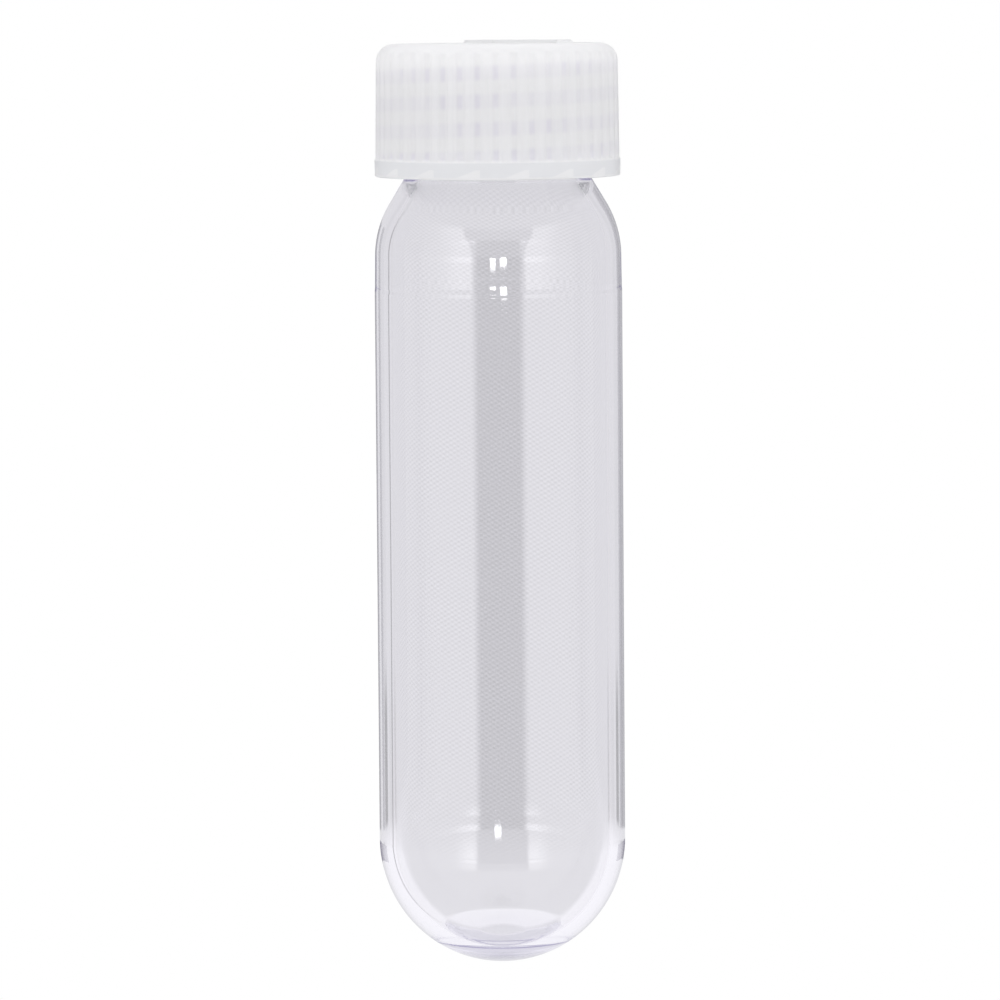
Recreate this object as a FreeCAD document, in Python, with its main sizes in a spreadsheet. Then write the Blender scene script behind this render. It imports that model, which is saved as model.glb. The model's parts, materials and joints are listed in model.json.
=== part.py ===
import FreeCAD, Part
import os

import Sketcher

# A clear round-bottom tube with a screw neck, its ribbed screw cap and the cap's gasket.
# Millimetres, +Z up. The origin is the lowest point of the tube, on its axis.

OUT = "parts"

# Driving dimensions: alias, value, meaning.
SIZES = [
    # Tube
    ("barrel_radius", 14.4, "outside of the barrel and of the round bottom"),
    ("bore_radius", 12.7, "inside of the barrel and of the round bottom"),
    ("pole_radius", 2.6, "flat gate mark at the bottom pole"),
    ("floor_radius", 7.2, "flat inner floor, where the core's round end stops"),
    ("insert_radius", 7.6, "fine line round the bottom, where the mould's insert ended"),
    ("insert_half", 0.15, "half the width of that line"),
    ("insert_depth", 0.06, "depth of that line"),
    ("ring_height", 78.6, "height of the parting ring"),
    ("ring_width", 1.3, "width of the parting ring"),
    ("ring_step", 0.05, "the barrel is smaller by this above the ring"),
    ("ring_groove", 0.04, "depth of the parting ring"),
    ("ring_flank", 0.35, "height of each flank of the parting ring"),
    ("shoulder_height", 82.55, "height where the shoulder starts"),
    ("shoulder_radius", 12.0, "radius of the rounded shoulder"),
    ("shoulder_wall", 1.7, "wall of the rounded shoulder"),
    ("shoulder_slope", 31.0, "slope of the conical shoulder from the axis, degrees"),
    ("neck_radius", 10.75, "root of the neck thread"),
    ("mouth_radius", 9.3, "bore of the neck"),
    ("rim_height", 104.75, "height of the rim"),
    ("rim_round", 0.45, "rounding of the rim"),
    # Screw thread, right-hand, one start
    ("thread_pitch", 3.175, "eight turns to the inch"),
    ("thread_foot", 2.0, "width of a ridge at its root"),
    ("thread_crest", 0.6, "width of a ridge at its crest"),
    ("thread_height", 1.2, "height of a ridge"),
    ("thread_bury", 0.3, "how far a ridge is sunk into its wall"),
    ("neck_thread_start", 95.17, "height of the neck ridge where it starts, at +X"),
    ("neck_thread_turns", 2.25, "turns of the neck ridge"),
    ("cap_thread_start", 3.46, "height of the cap ridge where it starts, above the cap's edge"),
    ("cap_thread_turns", 2.5, "turns of the cap ridge"),
    # Cap, measured from its lower edge
    ("cap_seat", 91.9, "height of the cap's lower edge when it is closed"),
    ("cap_turned", 183.6, "turn of the cap about the axis when it is closed, degrees"),
    ("cap_height", 15.35, "height of the cap"),
    ("cap_foot_radius", 14.26, "plain band at the lower edge"),
    ("cap_band_radius", 14.29, "plain band at its top"),
    ("cap_band_height", 1.9, "height of the plain band"),
    ("cap_side_radius", 14.18, "ribs just above the band"),
    ("cap_top_radius", 14.04, "ribs where the top corner starts"),
    ("cap_corner", 2.1, "rounding of the top corner"),
    ("cap_bore_radius", 12.15, "root of the cap thread"),
    ("cap_ceiling", 13.75, "underside of the top plate"),
    ("bead_height", 12.5, "height of the bead that keeps the gasket in"),
    ("bead_radius", 11.5, "inside of the bead"),
    ("bead_half", 0.3, "half the height of the bead"),
    ("pocket_radius", 11.95, "pocket of the gasket"),
    ("rib_count", 42, "grip ribs round the cap"),
    ("rib_gap", 1.05, "width of the groove between two ribs"),
    ("rib_depth", 0.33, "depth of the groove between two ribs"),
    ("notch_count", 16, "ratchet notches in the lower edge"),
    ("notch_length", 3.1, "length of a notch"),
    ("notch_depth", 1.15, "depth of a notch at its steep end"),
    ("notch_end_depth", 0.98, "depth of a notch just before its steep end"),
    ("notch_top", 2.6, "distance from the shallow end to where a notch is deepest"),
    ("notch_bend", 1.25, "distance from the shallow end to the bend of a notch's roof"),
    ("notch_bend_depth", 0.8, "depth at that bend"),
    ("notch_reach", 13.45, "distance of a notch's back wall from the axis"),
    ("notch_turned", 3.1, "turn of the first notch from the cap's front, degrees"),
    ("mark_height", 0.35, "how far the turning arrow stands up"),
    ("mark_inner", 6.9, "inside radius of the arrow's stem"),
    ("mark_outer", 8.8, "outside radius of the arrow's stem"),
    ("mark_head", 0.9, "how far the arrowhead is wider than the stem, on each side"),
    ("mark_stem_turn", 92.0, "turn from the stem's start to the arrowhead, degrees"),
    ("mark_turn", 118.0, "turn from the stem's start to the tip, degrees"),
    ("mark_turned", 178.0, "turn of the arrow on the cap, degrees"),
    # Gasket
    ("gasket_radius", 11.8, "outside of the gasket"),
    ("gasket_thickness", 0.8, "thickness of the gasket"),
    ("gasket_gap", 0.05, "gap between the rim and the gasket"),
    ("gasket_round", 0.15, "rounding of the gasket's edges"),
]

AXIS_R = -1
AXIS_Z = -2


def make_sheet(doc):
    """The driving dimensions, one row each: name, value, meaning."""
    sheet = doc.addObject("Spreadsheet::Sheet", "Sizes")
    for row, (alias, value, meaning) in enumerate(SIZES, start=1):
        sheet.set(f"A{row}", alias)
        sheet.set(f"B{row}", str(value))
        sheet.set(f"C{row}", meaning)
        sheet.setAlias(f"B{row}", alias)
    doc.recompute()
    return sheet


def bind(thing, path, expression):
    """Tie a property to an expression in which @name is a cell of the sheet."""
    thing.setExpression(path, cells(expression))


def cells(expression):
    return expression.replace("@", "Sizes.")


def worth(doc, expression):
    """The present value of an expression of sheet cells."""
    return float(doc.Sizes.evalExpression(cells(str(expression))))


def new_body(doc, name):
    body = doc.addObject("PartDesign::Body", name)
    body.Label = name
    return body


def new_sketch(body, name, plane):
    sketch = body.newObject("Sketcher::SketchObject", name)
    origin = next(f for f in body.Origin.OriginFeatures if f.Role == plane)
    sketch.AttachmentSupport = (origin, [""])
    sketch.MapMode = "FlatFace"
    return sketch


def turn_sketch(sketch, axis, expression):
    """Turn a sketch about one of its own directions, by an angle from the sheet."""
    angle = worth(sketch.Document, expression)
    sketch.AttachmentOffset = FreeCAD.Placement(FreeCAD.Vector(), FreeCAD.Rotation(axis, angle))
    bind(sketch, "AttachmentOffset.Rotation.Angle", expression)


def pin(sketch, edge, end, axis, expression):
    """Fix one coordinate of an edge's end: on the axis when it is 0, or tied to the sheet."""
    kind = "DistanceX" if axis == AXIS_Z else "DistanceY"
    if expression == "0":
        sketch.addConstraint(Sketcher.Constraint("PointOnObject", edge, end, axis))
        return
    value = worth(sketch.Document, expression)
    number = sketch.addConstraint(Sketcher.Constraint(kind, -1, 1, edge, end, value))
    bind(sketch, f"Constraints[{number}]", expression)


def arc_through(start, end, radius, bulge):
    """The shorter arc between two points; bulge is +1 when it curves to the right of the chord."""
    chord = end - start
    middle = (start + end) * 0.5
    side = FreeCAD.Vector(chord.y, -chord.x, 0).normalize()
    rise = (radius ** 2 - (chord.Length / 2) ** 2) ** 0.5
    top = middle + side * bulge * (radius - rise)
    return Part.Arc(start, top, end)


def draw_outline(sketch, corners):
    """A closed outline. A corner is (r, z), or (r, z, radius, bulge) when an arc leads away from it."""
    doc = sketch.Document
    points = [FreeCAD.Vector(worth(doc, c[0]), worth(doc, c[1]), 0) for c in corners]
    for number, corner in enumerate(corners):
        start = points[number]
        end = points[(number + 1) % len(points)]
        if len(corner) == 2:
            sketch.addGeometry(Part.LineSegment(start, end), False)
        else:
            sketch.addGeometry(arc_through(start, end, worth(doc, corner[2]), corner[3]), False)
    for number, corner in enumerate(corners):
        join_and_pin(sketch, corners, number, first_end(sketch, number, points[number]))


def first_end(sketch, number, point):
    """Which end of the edge lies on its first corner: an arc keeps its own direction."""
    return 1 if sketch.getPoint(number, 1).distanceToPoint(point) < 1e-6 else 2


def join_and_pin(sketch, corners, number, end):
    """Fix the first corner of one edge and join the edge before it to that corner."""
    corner = corners[number]
    before = (number - 1) % len(corners)
    point = sketch.getPoint(number, end)
    before_end = first_end(sketch, before, point)
    pin(sketch, number, end, AXIS_Z, corner[0])
    pin(sketch, number, end, AXIS_R, corner[1])
    sketch.addConstraint(Sketcher.Constraint("Coincident", before, before_end, number, end))
    if len(corner) > 2:
        radius = worth(sketch.Document, corner[2])
        tie = sketch.addConstraint(Sketcher.Constraint("Radius", number, radius))
        bind(sketch, f"Constraints[{tie}]", corner[2])


def revolve(body, name, corners):
    """Turn an outline in the XZ plane round the Z axis."""
    sketch = new_sketch(body, name + "Outline", "XZ_Plane")
    draw_outline(sketch, corners)
    turned = body.newObject("PartDesign::Revolution", name)
    turned.Profile = sketch
    turned.ReferenceAxis = (sketch, ["V_Axis"])
    turned.Angle = 360
    body.Document.recompute()
    return turned


def thread(body, name, root, crest, start, turns):
    """A right-hand ridge that climbs one pitch a turn, from a section at +X."""
    sketch = new_sketch(body, name + "Section", "XZ_Plane")
    draw_outline(sketch, [
        (root, f"{start} - @thread_foot / 2"),
        (crest, f"{start} - @thread_crest / 2"),
        (crest, f"{start} + @thread_crest / 2"),
        (root, f"{start} + @thread_foot / 2"),
    ])
    ridge = body.newObject("PartDesign::AdditiveHelix", name)
    ridge.Profile = sketch
    ridge.ReferenceAxis = (sketch, ["V_Axis"])
    ridge.Mode = "pitch-turns-angle"
    ridge.LeftHanded = False
    bind(ridge, "Pitch", "@thread_pitch")
    bind(ridge, "Turns", turns)
    body.Document.recompute()
    return ridge


def repeat(body, name, feature, count):
    """The feature repeated evenly round the Z axis."""
    ring = body.newObject("PartDesign::PolarPattern", name)
    ring.Originals = [feature]
    axis = next(f for f in body.Origin.OriginFeatures if f.Role == "Z_Axis")
    ring.Axis = (axis, [""])
    ring.Angle = 360
    bind(ring, "Occurrences", count)
    body.Tip = ring
    body.Document.recompute()
    return ring


def must_cut(body, feature, before):
    if feature.Shape.Volume >= before - 1e-6:
        raise RuntimeError(f"{body.Label}: {feature.Label} cuts nothing")


def bottom_height(radius):
    """Height of the round bottom's outside at a distance from the axis."""
    return f"sqrt(@barrel_radius^2 - @pole_radius^2) - sqrt(@barrel_radius^2 - ({radius})^2)"


def tube_outline():
    """Right half of the tube's section: up the outside, over the rim and down the inside."""
    centre = "sqrt(@barrel_radius^2 - @pole_radius^2)"
    insert_inner = "@insert_radius - @insert_half"
    insert_outer = "@insert_radius + @insert_half"
    insert_floor = f"{bottom_height('@insert_radius')} + @insert_depth"
    upper = "(@barrel_radius - @ring_step)"
    slope = "@shoulder_slope * 1 deg"
    bend = f"({upper} - @shoulder_radius)"
    cone_r = f"({bend} + @shoulder_radius * cos({slope}))"
    cone_z = f"(@shoulder_height + @shoulder_radius * sin({slope}))"
    inner_bend = "(@shoulder_radius - @shoulder_wall)"
    inner_r = f"({bend} + {inner_bend} * cos({slope}))"
    inner_z = f"(@shoulder_height + {inner_bend} * sin({slope}))"
    ring_top = "@ring_height + @ring_width"
    ring_floor = "@barrel_radius - @ring_groove"
    return [
        ("0", "0"),
        ("@pole_radius", "0", "@barrel_radius", 1),
        (insert_inner, bottom_height(insert_inner)),
        ("@insert_radius", insert_floor),
        (insert_outer, bottom_height(insert_outer), "@barrel_radius", 1),
        ("@barrel_radius", centre),
        ("@barrel_radius", "@ring_height"),
        (ring_floor, "@ring_height + @ring_flank"),
        (ring_floor, f"{ring_top} - @ring_flank"),
        (upper, ring_top),
        (upper, "@shoulder_height", "@shoulder_radius", 1),
        (cone_r, cone_z),
        ("@neck_radius", f"{cone_z} + ({cone_r} - @neck_radius) / tan({slope})"),
        ("@neck_radius", "@rim_height - @rim_round", "@rim_round", 1),
        ("@neck_radius - @rim_round", "@rim_height"),
        ("@mouth_radius + @rim_round", "@rim_height", "@rim_round", 1),
        ("@mouth_radius", "@rim_height - @rim_round"),
        ("@mouth_radius", f"{inner_z} + ({inner_r} - @mouth_radius) / tan({slope})"),
        (inner_r, inner_z, inner_bend, -1),
        (f"{bend} + {inner_bend}", "@shoulder_height"),
        ("@bore_radius", "@shoulder_height - @ring_width"),
        ("@bore_radius", centre, "@bore_radius", -1),
        ("@floor_radius", f"{centre} - sqrt(@bore_radius^2 - @floor_radius^2)"),
        ("0", f"{centre} - sqrt(@bore_radius^2 - @floor_radius^2)"),
    ]


def make_tube(doc):
    body = new_body(doc, "tube_body")
    revolve(body, "TubeWall", tube_outline())
    thread(
        body, "NeckThread",
        "@neck_radius - @thread_bury", "@neck_radius + @thread_height",
        "@neck_thread_start", "@neck_thread_turns",
    )
    return body


def cap_outline():
    """Right half of the cap's section, before its ribs, notches and thread."""
    ceiling = "@cap_ceiling"
    return [
        ("@cap_bore_radius", "0"),
        ("@cap_foot_radius", "0"),
        ("@cap_band_radius", "@cap_band_height"),
        ("@cap_side_radius", "@cap_band_height + @rib_depth / 2"),
        ("@cap_top_radius", "@cap_height - @cap_corner", "@cap_corner", 1),
        ("@cap_top_radius - @cap_corner", "@cap_height"),
        ("0", "@cap_height"),
        ("0", ceiling),
        ("@pocket_radius", ceiling),
        ("@pocket_radius", "@bead_height + @bead_half"),
        ("@bead_radius", "@bead_height"),
        ("@cap_bore_radius", "@bead_height - @cap_bore_radius + @bead_radius"),
    ]


def cut_rib_grooves(body):
    """Flat-bottomed grooves down the drafted side; they run out on the rounded corner."""
    sketch = new_sketch(body, "RibGrooveSide", "XZ_Plane")
    low = "@cap_band_height + @rib_depth"
    clear = "@cap_band_radius + @cap_corner"
    draw_outline(sketch, [
        ("@cap_side_radius - @rib_depth", low),
        (clear, low),
        (clear, "@cap_height"),
        ("@cap_top_radius - @rib_depth", "@cap_height"),
    ])
    before = body.Tip.Shape.Volume
    groove = body.newObject("PartDesign::Pocket", "RibGroove")
    groove.Profile = sketch
    groove.Midplane = True
    bind(groove, "Length", "@rib_gap")
    body.Document.recompute()
    must_cut(body, groove, before)
    repeat(body, "RibGrooves", groove, "@rib_count")


def cut_notches(body):
    """Ratchet notches inside the lower edge: each ramps up and ends in a steep wall."""
    sketch = new_sketch(body, "NotchFace", "XZ_Plane")
    draw_outline(sketch, [
        ("0", "0"),
        ("@notch_length", "0"),
        ("@notch_length", "@notch_end_depth"),
        ("@notch_top", "@notch_depth"),
        ("@notch_bend", "@notch_bend_depth"),
    ])
    turn_sketch(sketch, FreeCAD.Vector(0, 1, 0), "@notch_turned")
    before = body.Tip.Shape.Volume
    notch = body.newObject("PartDesign::Pocket", "Notch")
    notch.Profile = sketch
    notch.Reversed = True
    bind(notch, "Length", "@notch_reach")
    body.Document.recompute()
    must_cut(body, notch, before)
    repeat(body, "Notches", notch, "@notch_count")


def polar(radius, turn):
    """Expressions for the x and y of a point at a radius and a turn from +X."""
    return f"({radius}) * cos({turn} * 1 deg)", f"({radius}) * sin({turn} * 1 deg)"


def add_turning_arrow(body):
    """A raised curved arrow on the top plate."""
    sketch = new_sketch(body, "ArrowOutline", "XY_Plane")
    tip_radius = "(@mark_inner + @mark_outer) / 2"
    draw_outline(sketch, [
        ("@mark_inner", "0"),
        ("@mark_outer", "0", "@mark_outer", 1),
        polar("@mark_outer", "@mark_stem_turn"),
        polar("@mark_outer + @mark_head", "@mark_stem_turn"),
        polar(tip_radius, "@mark_turn"),
        polar("@mark_inner - @mark_head", "@mark_stem_turn"),
        (*polar("@mark_inner", "@mark_stem_turn"), "@mark_inner", -1),
    ])
    turn_sketch(sketch, FreeCAD.Vector(0, 0, 1), "@mark_turned")
    bind(sketch, "AttachmentOffset.Base.z", "@cap_height")
    arrow = body.newObject("PartDesign::Pad", "Arrow")
    arrow.Profile = sketch
    bind(arrow, "Length", "@mark_height")
    body.Document.recompute()


def make_cap(doc):
    body = new_body(doc, "screw_cap")
    revolve(body, "CapWall", cap_outline())
    cut_rib_grooves(body)
    cut_notches(body)
    add_turning_arrow(body)
    thread(
        body, "CapThread",
        "@cap_bore_radius + @thread_bury", "@cap_bore_radius - @thread_height",
        "@cap_thread_start", "@cap_thread_turns",
    )
    axis = FreeCAD.Vector(0, 0, 1)
    body.Placement = FreeCAD.Placement(FreeCAD.Vector(), FreeCAD.Rotation(axis, 1))
    bind(body, ".Placement.Rotation.Angle", "@cap_turned")
    bind(body, ".Placement.Base.z", "@cap_seat")
    return body


def make_gasket(doc):
    body = new_body(doc, "sealing_gasket")
    edge = "@gasket_round"
    revolve(body, "Disc", [
        ("0", "0"),
        (f"@gasket_radius - {edge}", "0", edge, 1),
        ("@gasket_radius", edge),
        ("@gasket_radius", f"@gasket_thickness - {edge}", edge, 1),
        (f"@gasket_radius - {edge}", "@gasket_thickness"),
        ("0", "@gasket_thickness"),
    ])
    bind(body, ".Placement.Base.z", "@rim_height + @gasket_gap")
    return body


def check(doc, bodies):
    """Stop if any object failed, or any sub-part isn't one valid solid."""
    for thing in doc.Objects:
        if "Invalid" in thing.State or "Error" in thing.State:
            raise RuntimeError(f"{thing.Label} failed: {thing.State}")
    for body in bodies:
        shape = body.Shape
        if shape.isNull() or not shape.isValid() or len(shape.Solids) != 1:
            raise RuntimeError(f"{body.Label} isn't one valid solid")


def main():
    doc = FreeCAD.newDocument("ScrewCapTube")
    make_sheet(doc)
    bodies = [make_tube(doc), make_cap(doc), make_gasket(doc)]
    doc.recompute()
    check(doc, bodies)
    os.makedirs(OUT, exist_ok=True)
    for body in bodies:
        body.Shape.exportStep(f"{OUT}/{body.Label}.step")
        box = body.Shape.BoundBox
        print(f"{body.Label}: z {box.ZMin:.2f} to {box.ZMax:.2f}, volume {body.Shape.Volume:.1f}")


main()
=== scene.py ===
import json
import math

import bpy
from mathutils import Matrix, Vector


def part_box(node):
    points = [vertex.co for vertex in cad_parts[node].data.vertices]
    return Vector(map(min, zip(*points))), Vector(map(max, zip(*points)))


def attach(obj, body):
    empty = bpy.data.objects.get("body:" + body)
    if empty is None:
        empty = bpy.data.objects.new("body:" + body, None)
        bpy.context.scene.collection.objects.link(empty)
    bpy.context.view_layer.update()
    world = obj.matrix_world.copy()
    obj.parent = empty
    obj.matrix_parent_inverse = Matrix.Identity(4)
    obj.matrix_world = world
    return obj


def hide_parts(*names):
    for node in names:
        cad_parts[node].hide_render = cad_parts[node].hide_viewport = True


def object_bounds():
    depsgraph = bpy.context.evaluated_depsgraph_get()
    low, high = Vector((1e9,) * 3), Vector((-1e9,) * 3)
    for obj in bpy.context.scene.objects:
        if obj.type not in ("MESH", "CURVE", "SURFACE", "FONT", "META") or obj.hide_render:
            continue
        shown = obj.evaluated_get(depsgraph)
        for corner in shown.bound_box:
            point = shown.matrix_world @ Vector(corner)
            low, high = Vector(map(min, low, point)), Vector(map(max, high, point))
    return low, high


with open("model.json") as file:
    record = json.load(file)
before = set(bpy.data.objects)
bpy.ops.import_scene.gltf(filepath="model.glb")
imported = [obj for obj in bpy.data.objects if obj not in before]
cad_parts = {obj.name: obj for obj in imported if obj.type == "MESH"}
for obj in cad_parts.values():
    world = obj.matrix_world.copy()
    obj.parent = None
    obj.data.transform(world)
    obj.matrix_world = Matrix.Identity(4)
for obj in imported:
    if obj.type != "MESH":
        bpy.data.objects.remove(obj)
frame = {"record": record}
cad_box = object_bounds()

# The looks of a clear round-bottom tube with a translucent screw cap. Metres, +Z up along the tube.

MM = 0.001
TURN = 2 * math.pi

# ------------------------------------------------------------------ sizes taken from the frame

RECORD = frame["record"]
TUBE_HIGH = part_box("tube_body")[1]
CAP_LOW, CAP_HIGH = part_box("screw_cap")
GASKET_LOW, GASKET_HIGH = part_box("sealing_gasket")
PITCH = next(c["ratio"] for c in RECORD["behaviour"]["couplings"]) * TURN

BARREL = next(m["dims"]["r_mm"] for m in RECORD["mounts"] if m["name"] == "barrel") * MM
RIM = TUBE_HIGH.z
CAP_FOOT = CAP_LOW.z
MARK_RISE = 0.35 * MM
CAP_TOP = CAP_HIGH.z - MARK_RISE

# The tube's own details, in the same places as on the CAD part
WALL = 1.7 * MM
BORE = BARREL - WALL
POLE_FLAT = 2.6 * MM
FLOOR_EDGE = 7.2 * MM
INSERT_LINE = 7.6 * MM
INSERT_HALF = 0.15 * MM
INSERT_DEPTH = 0.06 * MM
CENTRE = math.sqrt(BARREL ** 2 - POLE_FLAT ** 2)
RING_FOOT = 78.6 * MM
RING_WIDTH = 1.3 * MM
RING_DEPTH = 0.04 * MM
RING_FLANK = 0.35 * MM
RING_STEP = 0.05 * MM
SHOULDER_STEP = 0.08 * MM
SHOULDER_FOOT = 82.55 * MM
SHOULDER_ROUND = 12.0 * MM
SLOPE = math.radians(31)
NECK = 10.75 * MM
MOUTH = 9.3 * MM
RIM_ROUND = 0.45 * MM
RIDGE_RISE = 1.2 * MM
RIDGE_FOOT = 2.0 * MM
RIDGE_CREST = 0.6 * MM
NECK_RIDGE_START = 95.17 * MM
NECK_RIDGE_TURNS = 2.25
# How far round a ridge rises out of its wall at each end, in radians
RIDGE_FADE = 0.5

# The cap's own details
CAP_FOOT_SIDE = 14.26 * MM
CAP_BAND_SIDE = 14.29 * MM
CAP_SIDE_LOW = 14.18 * MM
CAP_SIDE_TOP = 14.04 * MM
CAP_BAND = 1.9 * MM
CAP_CORNER = 2.1 * MM
CAP_BORE = 12.15 * MM
CAP_CEILING = CAP_FOOT + 13.75 * MM
BEAD_MIDDLE = CAP_FOOT + 12.5 * MM
BEAD_INNER = 11.5 * MM
BEAD_HALF = 0.3 * MM
BEAD_CREST = 0.06 * MM
CAP_SKIRT = 1.4 * MM
SMALL_EDGE = 0.15 * MM
# How far in the middle of a rounded edge lies, as a share of the edge
EDGE_MIDDLE = 0.3
# Narrow rows that keep a crease crisp
CAP_CREASE = 0.10 * MM
NOTCH_STEP = 0.06 * MM
BAND_STEP = 0.05 * MM
RIB_TUCK = 0.004 * MM
POCKET = 11.95 * MM
CAP_TURNED = math.radians(183.6)
CAP_RIDGE_START = CAP_FOOT + 3.46 * MM
CAP_RIDGE_TURNS = 2.5
RIBS = 42
RIB_GAP = 1.05 * MM
RIB_DEPTH = 0.33 * MM
# Where the grooves between the ribs begin over the band, and where they are at their full depth
RIB_START = CAP_FOOT + CAP_BAND + RIB_DEPTH / 2
RIB_FULL = CAP_FOOT + CAP_BAND + RIB_DEPTH * 1.2
NOTCHES = 16
NOTCH_LENGTH = 3.1 * MM
NOTCH_DEPTH = 1.15 * MM
NOTCH_BACK = 13.45 * MM
NOTCH_END = math.radians(-75.5)
# Where along a notch its ramp reaches the full height, and how much the roof sinks after that
NOTCH_CREST = 0.85
NOTCH_SINK = 0.12
MARK_INNER = 6.9 * MM
MARK_OUTER = 8.8 * MM
MARK_HEAD = 0.9 * MM
MARK_CLEAR = 1.3 * MM
MARK_START = math.radians(1.6)
MARK_STEM_TURN = math.radians(92)
MARK_TIP_TURN = math.radians(118)
# Half the width over which the arrow's and the ribs' edges slope
MARK_SLOPE = 0.10 * MM
RIB_SLOPE = 0.12 * MM

# The width of the narrow rows beside a bend, which keep a wall's shading flat
GUARD = 0.04 * MM
# How many columns a turned body is divided into
TUBE_COLUMNS = 240
CAP_COLUMNS = RIBS * 12
GASKET_COLUMNS = 144
# Where a flat face is divided, as shares of its radius
CEILING_ROWS = (0.25, 0.5, 0.75, 0.97)
GASKET_ROWS = (0.3, 0.6, 0.9)
TOP_OUTER_ROW = 0.9


# ------------------------------------------------------------------ shapes

def smooth(low, high, value):
    """0 below low, 1 above high and a soft step between them."""
    share = min(1.0, max(0.0, (value - low) / (high - low)))
    return share * share * (3 - 2 * share)


def arc(centre_r, centre_z, radius, start, end, steps):
    """Points on an arc, as (r, z); angles in degrees from the outward direction."""
    points = []
    for step in range(steps + 1):
        angle = math.radians(start + (end - start) * step / steps)
        points.append((centre_r + radius * math.cos(angle), centre_z + radius * math.sin(angle)))
    return points


def line(start, end, steps):
    """Points after the first on a straight line, as (r, z)."""
    points = []
    for step in range(1, steps + 1):
        share = step / steps
        points.append((start[0] + (end[0] - start[0]) * share, start[1] + (end[1] - start[1]) * share))
    return points


def wall(start, end, steps):
    """A straight wall: like line(), with a narrow row at each end that keeps its shading flat."""
    share = GUARD / math.dist(start, end)
    first = (start[0] + (end[0] - start[0]) * share, start[1] + (end[1] - start[1]) * share)
    last = (end[0] - (end[0] - start[0]) * share, end[1] - (end[1] - start[1]) * share)
    return [first] + line(first, last, steps) + [end]


def lathe(name, rows, columns, shift=None):
    """A closed turned body: rows of (r, z) from pole to pole, each point moved by shift(row, r, z, angle)."""
    vertices = []
    for number, (r, z) in enumerate(rows):
        if number in (0, len(rows) - 1):
            vertices.append((0.0, 0.0, z))
            continue
        for column in range(columns):
            angle = TURN * column / columns
            new_r, new_z = shift(number, r, z, angle) if shift else (r, z)
            vertices.append((new_r * math.cos(angle), new_r * math.sin(angle), new_z))
    faces = lathe_faces(len(rows), columns)
    mesh = bpy.data.meshes.new(name)
    mesh.from_pydata(vertices, [], faces)
    mesh.shade_smooth()
    mesh.update()
    piece = bpy.data.objects.new(name, mesh)
    bpy.context.scene.collection.objects.link(piece)
    return piece


def lathe_faces(row_count, columns):
    """Quads between rows and a fan at each pole, facing outwards for rows that start below."""
    faces = []
    last = 1 + (row_count - 2) * columns
    for column in range(columns):
        following = (column + 1) % columns
        faces.append((0, 1 + following, 1 + column))
        faces.append((last, last - columns + column, last - columns + following))
    for row in range(row_count - 3):
        low = 1 + row * columns
        high = low + columns
        for column in range(columns):
            following = (column + 1) % columns
            faces.append((low + column, low + following, high + following, high + column))
    return faces


def ridge_rise(z, angle, start_z, start_angle, turns):
    """Height of a helical ridge's surface over its wall at a height and angle, from 0 to RIDGE_RISE."""
    first = (angle - start_angle) % TURN
    best = 0.0
    for lap in range(int(turns) + 2):
        travelled = first + TURN * lap
        if travelled > TURN * turns:
            break
        offset = abs(z - start_z - PITCH * travelled / TURN)
        flank = 1 - smooth(RIDGE_CREST / 2, RIDGE_FOOT / 2, offset)
        left = TURN * turns - travelled
        ends = min(smooth(0, RIDGE_FADE, travelled), smooth(0, RIDGE_FADE, left))
        best = max(best, flank * ends)
    return best * RIDGE_RISE


# ------------------------------------------------------------------ the tube

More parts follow.
